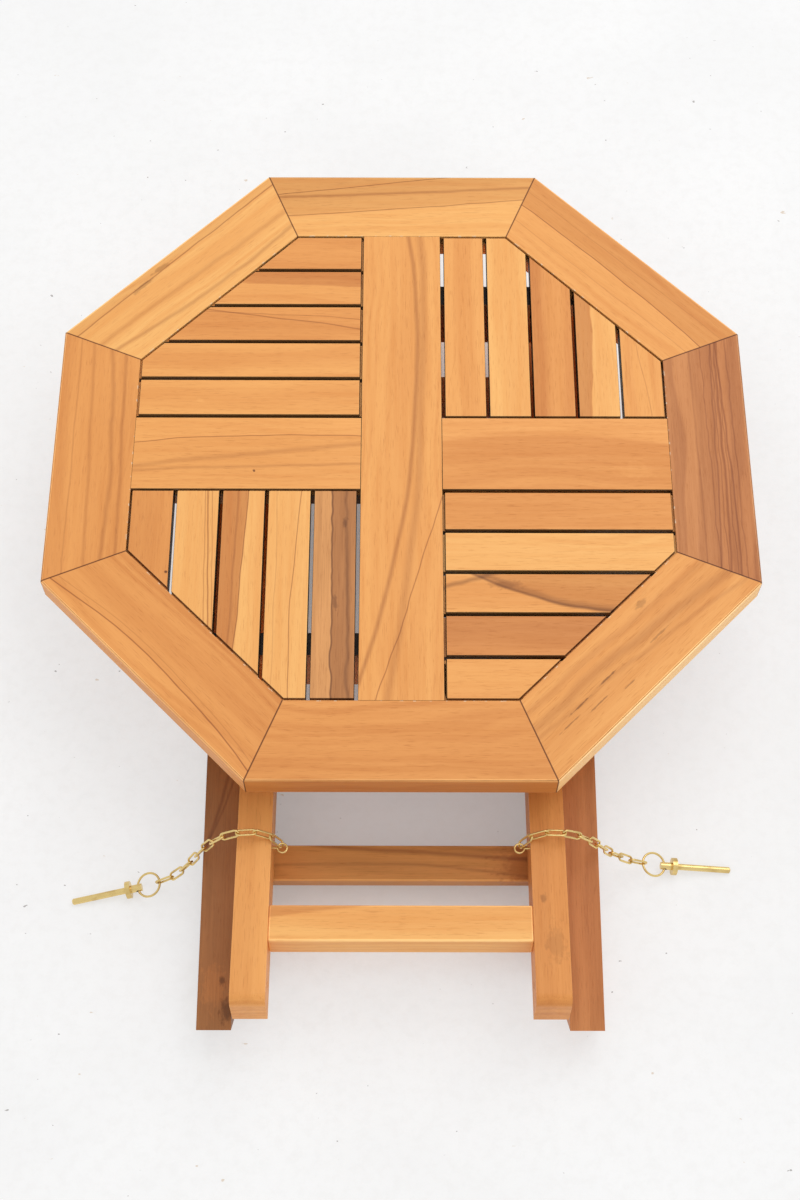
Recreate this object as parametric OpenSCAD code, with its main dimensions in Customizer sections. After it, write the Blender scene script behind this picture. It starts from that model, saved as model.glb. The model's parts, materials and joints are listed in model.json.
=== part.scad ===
// Folding octagonal slatted table, lying folded on its two crossed leg frames.
// X runs across the table, -Y is the side where the folded legs stick out, Z is up.
// The origin is on the floor, under the middle of the folded outline.
// Each piece is drawn from the centre of the top surface and then moved into place.

/* [Top] */
// Width of the top across two opposite flat sides
top_w = 700; // [560:5:900]
// Width of the eight rim boards
rim_w = 80.5; // [60:0.5:110]
// Thickness of the rim boards, the centre board and the cross boards
board_t = 31; // [26:0.5:40]
// Width of the centre board
centre_w = 81.5; // [60:0.5:100]
// Width of the two cross boards
cross_w = 83; // [60:0.5:100]
// Gap between neighbouring slats
slat_gap = 3.8; // [2:0.1:8]
// Gap left between the last slat and the rim
last_gap = 1.5; // [0.5:0.1:4]
// Gap between a slat's end and the board it runs up to
end_gap = 2.2; // [1:0.1:4]
// Thickness of the slats
slat_t = 16; // [14:0.5:20]

/* [Tongues and grooves] */
// Length of the tongue at each slat end
tongue_l = 6; // [4:0.5:9]
// Thickness of the tongues
tongue_t = 8; // [5:0.5:9]
// Play between a tongue and its groove
tongue_play = 0.2; // [0.1:0.05:0.4]
// Room in a groove past the end of a tongue
groove_room = 0.5; // [0.3:0.1:2]

/* [Underside] */
// Distance of the two cross beams from the middle of the top
beam_y = 204; // [195:1:212]
// Thickness of the cross beams
beam_t = 24; // [20:1:30]
// Depth of the cross beams and bearers below the slats
beam_d = 70; // [64:1:74]
// Depth of the shallow ends of the cross beams
beam_end_d = 21; // [16:1:24]
// Gap between the beams' ends and the rim
beam_gap = 0.3; // [0.2:0.1:2]
// Thickness of the two bearers between the beams
bearer_t = 21; // [16:1:26]
// Gap between a bearer and the inner leg beside it
bearer_gap = 1; // [0.5:0.1:2]
// Depth of the leg axes below the slats
axis_d = 60; // [56:1:64]

/* [Legs] */
// Width of the legs, seen from above
leg_w = 32.5; // [26:0.5:38]
// Depth of the legs
leg_d = 45; // [40:1:48]
// Outer width of the outer leg frame
frame_w = 380; // [340:2:420]
// Gap between an inner and an outer leg, filled by the washers
leg_gap = 3; // [2:0.5:5]
// Height of the top when the table stands open
open_h = 750; // [700:5:760]
// Slope of the legs when the table stands open
open_angle = 64.7; // [62:0.1:67]
// Distance from the leg axes at the top to the crossing bolts
cross_l = 363; // [355:1:370]
// Angle of both frames when the table is folded
fold_angle = 5; // [4.6:0.1:5.4]
// Length of the leg past its axis at the top end
end_l = 25; // [22:0.5:27]
// Radius of the rounded corner of that end
end_r = 10; // [4:1:14]

/* [Rails] */
// Width of the three rails
rail_w = 35; // [28:1:40]
// Thickness of the two rails of the inner frame
rail_t = 31; // [22:1:34]
// Step from the upper faces of the inner legs down to their rails
rail_step = 1; // [0:0.5:3]
// Thickness of the outer frame's rail
low_rail_t = 22; // [16:1:24]
// Distance from the inner leg axes to the near rail
near_rail_l = 34; // [31:1:45]
// Distance from the outer leg axes to the outer frame's rail
low_rail_l = 579; // [570:1:600]
// Distance from the inner leg axes to the foot rail
foot_rail_l = 652; // [600:1:670]
// Gap under the inner legs where they rest over the outer frame's rail
stop_gap = 0.5; // [0.3:0.1:1]
// Length of the rail tenons
tenon_l = 18; // [12:1:24]
// Height of the rail tenons
tenon_t = 12; // [8:1:16]
// Width of the shoulder beside each tenon
tenon_side = 5; // [3:0.5:8]

/* [Bolts] */
// Diameter of the hinge and crossing bolts
bolt_d = 8; // [6:0.5:10]
// Running play around a bolt, on the radius
bolt_play = 0.08; // [0.03:0.01:0.1]
// Play around a bolt or screw that is held fast, on the radius
seat_play = 0.03; // [0.01:0.01:0.05]
// Room past the end of a bolt or screw in its hole
end_room = 0.2; // [0.1:0.1:2]
// Length of the hinge bolts inside the beam
bolt_hold = 45; // [30:1:60]
// Diameter of the bolt heads
head_d = 20; // [16:1:24]
// Height of the bolt heads
head_t = 4.5; // [3:0.5:6]
// Radius of their domed faces
head_dome_r = 16; // [13:0.5:24]
// Diameter of the washers
washer_d = 24; // [20:1:30]
// Gap between a washer and the leg that turns against it
washer_gap = 0.3; // [0.2:0.05:0.5]
// Thickness of the washers under the nuts
nut_washer_t = 1.5; // [1:0.5:2.5]
// Width of the nuts across their flats
nut_w = 13; // [11:1:17]
// Height of the nuts
nut_t = 6.5; // [5:0.5:8]
// Length of bolt that stands out of the nut
bolt_end = 2; // [1:0.5:4]

/* [Locking pins] */
// Diameter of a pin's shaft
pin_d = 6.2; // [5:0.1:8]
// Length of a pin's shaft past its collar
pin_l = 54; // [50:1:58]
// Diameter of the collar
collar_d = 17; // [14:0.5:19]
// Thickness of the collar
collar_t = 4.7; // [3:0.1:6]
// Diameter of the stub behind the collar
stub_d = 7.5; // [7:0.5:9]
// Length of the stub
stub_l = 11; // [9:0.5:14]
// Chamfer at the pin's tip
tip_c = 1; // [0.5:0.1:2]
// Diameter of the cross hole in the stub
stub_hole_d = 4; // [3.8:0.1:4.5]
// Play around a pin in the bearer and in the leg, on the radius
pin_play = 0.3; // [0.2:0.1:0.6]
// Outer diameter of the ring through the stub
ring_d = 25.5; // [24:0.5:28]
// Thickness of the ring's wire
ring_wire = 2.2; // [1.8:0.1:2.4]

/* [Chains] */
// Length of a link over its ends
link_l = 21; // [20:0.1:22]
// Width of a link
link_w = 9; // [8.6:0.1:10]
// Thickness of the links' wire
link_wire = 2.1; // [1.8:0.05:2.2]
// Slack between one link and the next
link_slack = 0.4; // [0.4:0.05:0.6]
// Slack between the end links and the eye or the ring
end_slack = 1.9; // [1.8:0.05:2]
// Links in the part of a chain that starts at the eye
upper_links = 7; // [4:1:8]
// Outer diameter of the screw eyes
eye_d = 11; // [10:0.5:13]
// Thickness of the eyes' wire
eye_wire = 1.8; // [1.6:0.1:1.9]
// Distance from the inner leg axes to the eyes
eye_l = 128; // [110:1:150]
// Height of the eyes above the middle of the leg
eye_up = 15.5; // [15:0.5:17]
// Distance from the leg's inner face to the middle of the eye
eye_out = 10; // [8:0.5:12]
// Length of the eye's screw inside the leg
eye_screw_l = 14; // [10:1:20]

/* [Hidden] */

teak = "#c98d52";
dark_teak = "#9c5f38";
pale_teak = "#dba86c";
steel = "#b9b6ae";
brass = "#c9a552";
$fn = 48;
wire_fn = 20;
slat_count = 5;
// How far a cut reaches past the face that it starts in
past = 1;

// The top, seen from above
half_w = top_w / 2;
field = half_w - rim_w;
corner = 1 / cos(22.5);
groove_l = tongue_l + groove_room;
tongue_z = -slat_t / 2;
near_start = cross_w / 2;
side_start = centre_w / 2;
RIM_TURNS = [0, -45, -90, -135, 180, 135, 90, 45];

// Beams and bearers
under_z = -slat_t;
inner_face = frame_w / 2 - 2 * leg_w - leg_gap;
inner_out = inner_face + leg_w;
outer_face = inner_out + leg_gap;
bearer_out = inner_face - bearer_gap;

// Leg axes: both frames turn at this level and cross at cross_l
axis_z = under_z - axis_d;
span_folded = 2 * cross_l * cos(fold_angle);
inner_axis_y = beam_y - span_folded;
open_drop = open_h + axis_z;
// Distance from the leg axes at the top to the middle of the feet
foot_l = open_drop / sin(open_angle);
foot_cut = leg_d / 2 / tan(open_angle);
pin_y = beam_y - 2 * cross_l * cos(open_angle);

// Where the lower corner of a folded leg rests, and how far out its upper corner is
rest_h = -axis_z + (foot_l - foot_cut) * sin(fold_angle) + leg_d / 2 * cos(fold_angle);
near_end = beam_y - (foot_l + foot_cut) * cos(fold_angle) - leg_d / 2 * sin(fold_angle);
top_y = -(half_w + near_end) / 2;

// The outer rail lies just under the inner legs when the table is folded
rail_far_y = beam_y - low_rail_l * cos(fold_angle);
inner_under_z = axis_z - (rail_far_y - inner_axis_y) * tan(fold_angle) - leg_d / 2 / cos(fold_angle);
low_rail_top = (inner_under_z - stop_gap - axis_z + low_rail_l * sin(fold_angle)) / cos(fold_angle);

// Chains: the angles of the links, upwards and towards the near side, starting at the eye
LEFT_DIPS = [51, 26, 1, -25, -48, -57, -61, -60, -54, -44, -28];
LEFT_TURNS = [-20, -8, 4, 6, 6, 10, 15, 18, 20, 18, 12];
RIGHT_DIPS = [51, 26, 1, -25, -48, -57, -61, -60, -54, -44, -28];
RIGHT_TURNS = [-20, -8, 2, 2, 0, 0, -4, -6, -4, 0, 2];
left_pin_turn = 11;
right_pin_turn = 2;
pitch = link_l - 2 * link_wire - link_slack;
link_r = (link_w - link_wire) / 2;
link_straight = link_l - link_w;
eye_r = (eye_d - eye_wire) / 2;
eye_turn = -68;
first_roll = 165;
link_roll = 82.5;
link_seat = (link_wire + link_slack) / 2;
eye_seat = (eye_wire + end_slack) / 2;
ring_seat = (ring_wire + end_slack) / 2;
eye_z = axis_z - eye_l * sin(fold_angle) + eye_up * cos(fold_angle);
eye_y = inner_axis_y + eye_l * cos(fold_angle) + eye_up * sin(fold_angle);
eye_wire_at = [inner_face - eye_out + eye_r * cos(eye_turn), eye_y - eye_r * sin(eye_turn), eye_z];

function heading(dip, turn) = [cos(dip) * cos(turn), -cos(dip) * sin(turn), sin(dip)];
function joint_at(dips, turns, i) =
    i == 0 ? eye_wire_at - eye_seat * heading(dips[0], turns[0]) :
    joint_at(dips, turns, i - 1) + pitch * heading(dips[i - 1], turns[i - 1]);
// Middle of the wire at the near end of link i, where the link swings
function link_start(dips, turns, i) = joint_at(dips, turns, i) - link_seat * heading(dips[i], turns[i]);

// The pin lies on the floor on its collar and its tip, and the ring hangs between pin and chain
pin_tilt = atan((collar_d - pin_d) / 2 / (pin_l - tip_c));
collar_z = -rest_h + collar_d / 2 * cos(pin_tilt);
ring_r = (ring_d - ring_wire) / 2;
ring_hold = stub_l - stub_hole_d;
hole_z = collar_z + (ring_hold + collar_t) * sin(pin_tilt);
function ring_start(dips, turns) = joint_at(dips, turns, len(dips))
    - ring_seat * heading(dips[len(dips) - 1], turns[len(turns) - 1]);
function ring_dip(dips, turns) = asin((hole_z - ring_start(dips, turns)[2]) / (2 * ring_r));

module place() {
    translate([0, top_y, rest_h]) children();
}

module octagon(half) {
    rotate(22.5) circle(r = half * corner, $fn = 8);
}

module side_profile(from_x, width) {
    translate([from_x, 0, 0]) rotate([90, 0, 90]) linear_extrude(width) children();
}

module slab(top_z, t) {
    translate([0, 0, top_z - t]) linear_extrude(t) children();
}

// One rim board, a mitred eighth of the ring with a groove in its inner face
module rim(turn, shade) {
    mitre = tan(22.5);
    color(shade) place() rotate(turn) difference() {
        slab(0, board_t) polygon([[-half_w * mitre, half_w], [half_w * mitre, half_w],
            [field * mitre, field], [-field * mitre, field]]);
        slab(tongue_z + tongue_t / 2 + tongue_play, tongue_t + 2 * tongue_play)
            translate([-half_w, field - past]) square([top_w, groove_l + past]);
    }
}

// Groove along both long edges of a board that lies along Y
module edge_grooves(width, length) {
    for (side = [-1, 1])
        slab(tongue_z + tongue_t / 2 + tongue_play, tongue_t + 2 * tongue_play)
            translate([side * (width - groove_l + past) / 2, 0]) square([groove_l + past, length], center = true);
}

module centre_board() {
    color(pale_teak) place() difference() {
        slab(0, board_t) square([centre_w, 2 * field], center = true);
        edge_grooves(centre_w, 2 * (field + past));
    }
}

module cross_board(side) {
    mid = side * (side_start + field) / 2;
    length = field - side_start;
    color(teak) place() translate([mid, 0, 0]) rotate(90) difference() {
        slab(0, board_t) square([cross_w, length], center = true);
        edge_grooves(cross_w, length + 2 * past);
    }
}

// A slat of the quarter that lies at +X and +Y, running along Y
module slat(i, across, along) {
    width = (field - across - slat_count * slat_gap - last_gap) / slat_count;
    from_x = across + slat_gap + i * (width + slat_gap);
    slab(0, slat_t) intersection() {
        translate([from_x, along + end_gap]) square([width, top_w]);
        octagon(field - end_gap);
    }
    slab(tongue_z + tongue_t / 2, tongue_t) intersection() {
        translate([from_x, along - tongue_l]) square([width, top_w]);
        octagon(field + tongue_l);
        rotate(-45) translate([-top_w, 0]) square([2 * top_w, field + tongue_l]);
    }
}

module far_left_slat(i) {
    color(teak) place() rotate(90) slat(i, near_start, side_start);
}

module far_right_slat(i) {
    color(pale_teak) place() slat(i, side_start, near_start);
}

module near_left_slat(i) {
    color(pale_teak) place() rotate(180) slat(i, side_start, near_start);
}

module near_right_slat(i) {
    color(teak) place() rotate(-90) slat(i, near_start, side_start);
}

// A beam across the underside, let in around the centre board; its shallow ends reach the rim
module beam(side, deep_half) {
    intersection() {
        translate([0, side * beam_y, 0]) difference() {
            union() {
                slab(under_z, beam_end_d) square([2 * field, beam_t], center = true);
                slab(under_z, beam_d) square([2 * deep_half, beam_t], center = true);
            }
            slab(0, board_t) square([centre_w, beam_t + 2 * past], center = true);
        }
        slab(0, top_w) octagon(field - beam_gap);
    }
}

module back_beam() {
    color(dark_teak) place() difference() {
        beam(1, inner_out);
        for (side = [0, 1]) mirror([side, 0, 0])
            translate([inner_out - bolt_hold - end_room, beam_y, axis_z]) rotate([0, 90, 0])
                cylinder(r = bolt_d / 2 + seat_play, h = bolt_hold + end_room + past);
    }
}

module front_beam() {
    color(dark_teak) place() beam(-1, bearer_out);
}

// A bearer between the two beams, notched under the cross board and drilled for the locking pin
module bearer(side) {
    length = 2 * beam_y - beam_t;
    color(dark_teak) place() translate([side * (bearer_out - bearer_t / 2), 0, 0]) difference() {
        slab(under_z, beam_d) square([bearer_t, length], center = true);
        slab(0, board_t) square([bearer_t + 2 * past, cross_w], center = true);
        translate([0, pin_y, axis_z]) rotate([0, 90, 0])
            cylinder(r = pin_d / 2 + pin_play, h = bearer_t + 2 * past, center = true);
    }
}

// Carries the outer frame: its axis is at the back beam, and it runs down towards -Y
module outer_place() {
    place() translate([0, beam_y, axis_z]) rotate([fold_angle, 0, 0]) children();
}

// Carries the inner frame: its axis is on the near side, and it runs down towards +Y
module inner_place() {
    place() translate([0, inner_axis_y, axis_z]) rotate([-fold_angle, 0, 0]) children();
}

// Side view of a leg that runs along +X, with its top end rounded and its foot cut for the open table
module leg_profile() {
    half = leg_d / 2;
    polygon([[-end_l, -half], [foot_l - foot_cut, -half], [foot_l + foot_cut, half],
        [end_r - end_l, half], [-end_l, half - end_r]]);
    translate([end_r - end_l, half - end_r]) circle(r = end_r);
}

module cross_bore(at_y, width, r) {
    translate([width / 2, at_y, 0]) rotate([0, 90, 0]) cylinder(r = r, h = width + 2 * past, center = true);
}

module tenon(from_y, top, thick) {
    translate([-tenon_l, from_y + tenon_side, top - (thick + tenon_t) / 2])
        cube([2 * tenon_l, rail_w - 2 * tenon_side, tenon_t]);
}

module outer_leg(side) {
    shade = side < 0 ? dark_teak : teak;
    color(shade) outer_place() mirror([side < 0 ? 1 : 0, 0, 0]) translate([outer_face, 0, 0]) difference() {
        mirror([0, 1, 0]) side_profile(0, leg_w) leg_profile();
        cross_bore(0, leg_w, bolt_d / 2 + bolt_play);
        cross_bore(-cross_l, leg_w, bolt_d / 2 + seat_play);
        tenon(-low_rail_l - rail_w, low_rail_top, low_rail_t);
    }
}

module inner_leg(side) {
    color(teak) inner_place() mirror([side < 0 ? 1 : 0, 0, 0]) translate([inner_face, 0, 0]) difference() {
        side_profile(0, leg_w) leg_profile();
        cross_bore(0, leg_w, pin_d / 2 + pin_play);
        cross_bore(cross_l, leg_w, bolt_d / 2 + bolt_play);
        tenon(near_rail_l, leg_d / 2 - rail_step, rail_t);
        tenon(foot_rail_l, leg_d / 2 - rail_step, rail_t);
        translate([-past, eye_l, eye_up]) rotate([0, 90, 0])
            cylinder(r = eye_wire / 2 + seat_play, h = past + eye_screw_l + end_room);
    }
}

// A rail with a tenon at both ends; face is the distance from the middle to a leg's face
module rail(from_y, top, thick, face) {
    translate([-face, from_y, top - thick]) cube([2 * face, rail_w, thick]);
    for (side = [0, 1]) mirror([side, 0, 0]) intersection() {
        translate([face, 0, 0]) tenon(from_y, top, thick);
        translate([face - past, from_y, top - thick]) cube([tenon_l + past, rail_w, thick]);
    }
}

module outer_rail() {
    color(dark_teak) outer_place() rail(-low_rail_l - rail_w, low_rail_top, low_rail_t, outer_face);
}

module near_rail() {
    color(pale_teak) inner_place() rail(near_rail_l, leg_d / 2 - rail_step, rail_t, inner_face);
}

module foot_rail() {
    color(teak) inner_place() rail(foot_rail_l, leg_d / 2 - rail_step, rail_t, inner_face);
}

// Lies along X: a domed head on the outside of a leg and a shaft that runs inwards from it
module bolt(length) {
    rotate([0, -90, 0]) cylinder(d = bolt_d, h = length);
    rotate([0, 90, 0]) intersection() {
        cylinder(d = head_d, h = head_t);
        translate([0, 0, head_t - head_dome_r]) sphere(r = head_dome_r, $fn = 64);
    }
}

module washer(t) {
    rotate([0, 90, 0]) difference() {
        cylinder(d = washer_d, h = t);
        translate([0, 0, -past]) cylinder(r = bolt_d / 2 + seat_play, h = t + 2 * past);
    }
}

module hinge_bolts() {
    color(steel) outer_place() for (side = [0, 1]) mirror([side, 0, 0])
        translate([frame_w / 2 + washer_gap, 0, 0]) bolt(leg_w + leg_gap + washer_gap + bolt_hold);
}

module hinge_washers() {
    color(steel) outer_place() for (side = [0, 1]) mirror([side, 0, 0])
        translate([inner_out, 0, 0]) washer(leg_gap - washer_gap);
}

module pivot_bolts() {
    length = 2 * leg_w + leg_gap + washer_gap + nut_washer_t + nut_t + bolt_end;
    color(steel) outer_place() for (side = [0, 1]) mirror([side, 0, 0])
        translate([frame_w / 2, -cross_l, 0]) bolt(length);
}

module pivot_washers() {
    color(steel) outer_place() for (side = [0, 1]) mirror([side, 0, 0]) {
        translate([inner_out + washer_gap, -cross_l, 0]) washer(leg_gap - washer_gap);
        translate([inner_face - washer_gap - nut_washer_t, -cross_l, 0]) washer(nut_washer_t);
    }
}

module pivot_nuts() {
    color(steel) outer_place() for (side = [0, 1]) mirror([side, 0, 0])
        translate([inner_face - washer_gap - nut_washer_t - nut_t, -cross_l, 0]) rotate([0, 90, 0]) difference() {
            cylinder(d = nut_w / cos(30), h = nut_t, $fn = 6);
            translate([0, 0, -past]) cylinder(r = bolt_d / 2 + seat_play, h = nut_t + 2 * past);
        }
}

module torus(r, wire) {
    rotate_extrude() translate([r, 0]) circle(d = wire, $fn = wire_fn);
}

// A screw eye in the inner face of an inner leg, with its ring level with the leg
module screw_eye(side) {
    color(brass) inner_place() mirror([side < 0 ? 1 : 0, 0, 0]) translate([inner_face - eye_out, eye_l, eye_up]) {
        torus(eye_r, eye_wire);
        translate([eye_r, 0, 0]) rotate([0, 90, 0])
            cylinder(d = eye_wire, h = eye_out - eye_r + eye_screw_l, $fn = wire_fn);
    }
}

// One oval link along X, with its middle at the origin
module link() {
    for (side = [0, 1]) mirror([side, 0, 0]) {
        translate([link_straight / 2, 0, 0]) rotate(-90) rotate_extrude(angle = 180)
            translate([link_r, 0]) circle(d = link_wire, $fn = wire_fn);
        for (edge = [-1, 1])
            translate([0, edge * link_r, 0]) rotate([0, 90, 0])
                cylinder(d = link_wire, h = link_straight / 2, $fn = wire_fn);
    }
}

// Links from the first to the last number, each turned about a quarter against its neighbour
module links(dips, turns, first, last) {
    for (i = [first : last])
        translate((joint_at(dips, turns, i) + joint_at(dips, turns, i + 1)) / 2)
            rotate([0, -dips[i], -turns[i]]) rotate([first_roll + i * link_roll, 0, 0]) link();
}

module left_side() {
    color(brass) place() mirror([1, 0, 0]) children();
}

module right_side() {
    color(brass) place() children();
}

module split_ring(dips, turns, turn) {
    translate(ring_start(dips, turns)) rotate([0, -ring_dip(dips, turns), -turn])
        translate([ring_r, 0, 0]) torus(ring_r, ring_wire);
}

// The pin's local origin is its cross hole; the shaft runs along X
module locking_pin(dips, turns, turn) {
    dip = ring_dip(dips, turns);
    hole = ring_start(dips, turns) + 2 * ring_r * heading(dip, turn);
    translate(hole) rotate([0, pin_tilt, -turn]) difference() {
        union() {
            translate([ring_hold - stub_l, 0, 0]) rotate([0, 90, 0]) cylinder(d = stub_d, h = stub_l);
            translate([ring_hold, 0, 0]) rotate([0, 90, 0]) cylinder(d = collar_d, h = collar_t);
            translate([ring_hold + collar_t, 0, 0]) rotate([0, 90, 0]) {
                cylinder(d = pin_d, h = pin_l - tip_c);
                translate([0, 0, pin_l - tip_c]) cylinder(d1 = pin_d, d2 = pin_d - 2 * tip_c, h = tip_c);
            }
        }
        rotate([90, 0, 0]) cylinder(d = stub_hole_d, h = stub_d + 2 * past, center = true);
    }
}

RIM_SHADES = [teak, pale_teak, dark_teak, teak, teak, teak, dark_teak, teak];
for (i = [0 : 7])
    rim(RIM_TURNS[i], RIM_SHADES[i]);
centre_board();
cross_board(-1);  // cross_board_left
cross_board(1);  // cross_board_right
for (i = [0 : slat_count - 1]) {
    far_left_slat(i);
    far_right_slat(i);
    near_left_slat(i);
    near_right_slat(i);
}
back_beam();
front_beam();
bearer(-1);  // bearer_left
bearer(1);  // bearer_right
hinge_bolts();
hinge_washers();
outer_leg(-1);  // outer_leg_left
outer_leg(1);  // outer_leg_right
outer_rail();
pivot_bolts();
pivot_washers();
pivot_nuts();
inner_leg(-1);  // inner_leg_left
inner_leg(1);  // inner_leg_right
near_rail();
foot_rail();
screw_eye(-1);  // screw_eye_left
screw_eye(1);  // screw_eye_right
left_side() links(LEFT_DIPS, LEFT_TURNS, 0, upper_links - 1);  // upper_chain_left
right_side() links(RIGHT_DIPS, RIGHT_TURNS, 0, upper_links - 1);  // upper_chain_right
left_side() links(LEFT_DIPS, LEFT_TURNS, upper_links, len(LEFT_DIPS) - 1);  // lower_chain_left
right_side() links(RIGHT_DIPS, RIGHT_TURNS, upper_links, len(RIGHT_DIPS) - 1);  // lower_chain_right
left_side() split_ring(LEFT_DIPS, LEFT_TURNS, left_pin_turn);  // split_ring_left
right_side() split_ring(RIGHT_DIPS, RIGHT_TURNS, right_pin_turn);  // split_ring_right
left_side() locking_pin(LEFT_DIPS, LEFT_TURNS, left_pin_turn);  // locking_pin_left
right_side() locking_pin(RIGHT_DIPS, RIGHT_TURNS, right_pin_turn);  // locking_pin_right

// The places of the joints, for whoever poses the model
module report(name, point) {
    echo(str(name, " = ", point + [0, top_y, rest_h]));
}
echo(str("axes = [", top_y + beam_y, ", ", rest_h + axis_z, "]"));
echo(str("crossing = [", top_y + beam_y - cross_l * cos(fold_angle), ", ",
    rest_h + axis_z - cross_l * sin(fold_angle), "]"));
echo(str("open_angle = ", open_angle));
echo(top_y = top_y, rest_h = rest_h);
report("eye", link_start(LEFT_DIPS, LEFT_TURNS, 0));
report("left_mid", link_start(LEFT_DIPS, LEFT_TURNS, upper_links));
report("left_end", ring_start(LEFT_DIPS, LEFT_TURNS));
report("right_mid", link_start(RIGHT_DIPS, RIGHT_TURNS, upper_links));
report("right_end", ring_start(RIGHT_DIPS, RIGHT_TURNS));
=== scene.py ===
# %% [markdown]
# # A folding octagonal teak table, lying folded on a pale floor
#
# The table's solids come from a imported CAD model, which this script loads as a fixed
# frame. Blender gives them eased edges, oiled teak with a figure of its own on every
# board, brass, a floor, soft light and a camera. Everything is in metres: +X is the
# table's right, +Y is away from the folded legs' ends and +Z is up.

# %% Load the frame
import json
import math
import bmesh
import bpy
from mathutils import Matrix, Vector


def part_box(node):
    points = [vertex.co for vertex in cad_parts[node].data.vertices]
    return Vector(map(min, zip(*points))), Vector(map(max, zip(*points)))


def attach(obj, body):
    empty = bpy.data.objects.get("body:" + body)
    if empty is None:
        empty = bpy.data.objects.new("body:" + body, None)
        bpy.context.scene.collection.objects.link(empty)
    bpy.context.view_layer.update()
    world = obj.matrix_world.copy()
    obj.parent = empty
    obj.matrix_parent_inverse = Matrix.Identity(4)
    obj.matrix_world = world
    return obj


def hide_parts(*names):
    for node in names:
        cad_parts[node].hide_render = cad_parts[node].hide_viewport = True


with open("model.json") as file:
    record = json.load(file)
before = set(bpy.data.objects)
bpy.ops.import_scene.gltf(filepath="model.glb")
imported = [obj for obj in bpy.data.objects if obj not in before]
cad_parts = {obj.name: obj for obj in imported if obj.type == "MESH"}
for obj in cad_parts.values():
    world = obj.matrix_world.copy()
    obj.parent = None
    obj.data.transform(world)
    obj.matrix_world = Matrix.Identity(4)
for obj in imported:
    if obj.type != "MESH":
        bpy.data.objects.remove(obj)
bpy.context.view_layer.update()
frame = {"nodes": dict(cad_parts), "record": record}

# %% [markdown]
# ## Camera
#
# The view looks down on the top from above its near side. The place, the tilt and the
# lens were found from the octagon's edges, which are straight lines of a known shape,
# so they are written as numbers. A lens target or a track constraint would be easier
# to move, but it would not hold the small roll of a camera held by hand.

# %% Camera
CAMERA_PLACE = (-0.00346, -0.82658, 1.71322)
CAMERA_PITCH, CAMERA_YAW, CAMERA_ROLL = 63.8095, 0.1587, 0.2719
camera_data = bpy.data.cameras.new("camera")
camera_data.lens = 53.79
camera_data.sensor_width = 36.0
camera = bpy.data.objects.new("camera", camera_data)
bpy.context.scene.collection.objects.link(camera)
camera.matrix_world = (
    Matrix.Translation(CAMERA_PLACE)
    @ Matrix.Rotation(math.radians(-CAMERA_YAW), 4, "Z")
    @ Matrix.Rotation(math.radians(90 - CAMERA_PITCH), 4, "X")
    @ Matrix.Rotation(math.radians(CAMERA_ROLL), 4, "Z")
)
bpy.context.scene.camera = camera
bpy.context.scene.view_settings.view_transform = "Standard"
print("camera looks", round(CAMERA_PITCH), "degrees down")

# %% [markdown]
# ## Small helpers for shader trees
#
# A material is a tree of nodes. A few helpers keep the trees short to write. They feed a
# socket with a link or a plain value, add a math node, move a value to another range,
# mix two colours, read a noise, make a node group and put a group into a material. A
# bigger library would hide how the nodes join, so there is none.

# %% Shader helpers
def feed(tree, socket, value):
    """Links value to the socket if it is a socket too, or writes it there."""
    if isinstance(value, bpy.types.NodeSocket):
        tree.links.new(value, socket)
    else:
        socket.default_value = value


def calc(tree, operation, *values):
    """Adds a math node and returns what it puts out."""
    node = tree.nodes.new("ShaderNodeMath")
    node.operation = operation
    for socket, value in zip(node.inputs, values):
        feed(tree, socket, value)
    return node.outputs[0]


def ramp(tree, value, low, high, to_low=0.0, to_high=1.0):
    """Moves value from the range low..high to another range, with smooth ends."""
    node = tree.nodes.new("ShaderNodeMapRange")
    node.interpolation_type = "SMOOTHSTEP"
    for name, number in (("Value", value), ("From Min", low), ("From Max", high),
                         ("To Min", to_low), ("To Max", to_high)):
        feed(tree, node.inputs[name], number)
    return node.outputs["Result"]


def mix(tree, amount, first, second, blend="MIX"):
    """Mixes two colours."""
    node = tree.nodes.new("ShaderNodeMix")
    node.data_type, node.blend_type = "RGBA", blend
    for place, value in ((0, amount), (6, first), (7, second)):
        feed(tree, node.inputs[place], value)
    return node.outputs[2]


def noise(tree, vector, scale, stretch=(1, 1, 1), detail=2.0, roughness=0.5):
    """Reads a soft noise whose spots are 1 / scale long, divided by stretch along each axis."""
    scaled = tree.nodes.new("ShaderNodeVectorMath")
    scaled.operation = "MULTIPLY"
    feed(tree, scaled.inputs[0], vector)
    scaled.inputs[1].default_value = [scale * s for s in stretch]
    node = tree.nodes.new("ShaderNodeTexNoise")
    for name, value in (("Vector", scaled.outputs[0]), ("Scale", 1.0),
                        ("Detail", detail), ("Roughness", roughness)):
        feed(tree, node.inputs[name], value)
    return node.outputs["Fac"]


def group(name, inputs, outputs):
    """Makes a shader node group with named sockets and returns it with its two ends."""
    kinds = {float: "NodeSocketFloat", tuple: "NodeSocketColor", None: "NodeSocketVector"}
    tree = bpy.data.node_groups.new(name, "ShaderNodeTree")
    for label, value in inputs:
        kind = kinds[None if value is None else type(value)]
        socket = tree.interface.new_socket(name=label, in_out="INPUT", socket_type=kind)
        if value is not None:
            socket.default_value = value
    for label, kind in outputs:
        tree.interface.new_socket(name=label, in_out="OUTPUT", socket_type=kinds[kind])
    return tree, tree.nodes.new("NodeGroupInput").outputs, tree.nodes.new("NodeGroupOutput").inputs


def place_group(tree, source, **values):
    """Puts a group into a material and fills its sockets; in a name, _ stands for a space."""
    node = tree.nodes.new("ShaderNodeGroup")
    node.node_tree = source
    for name, value in values.items():
        feed(tree, node.inputs[name.replace("_", " ")], value)
    return node.outputs


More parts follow.
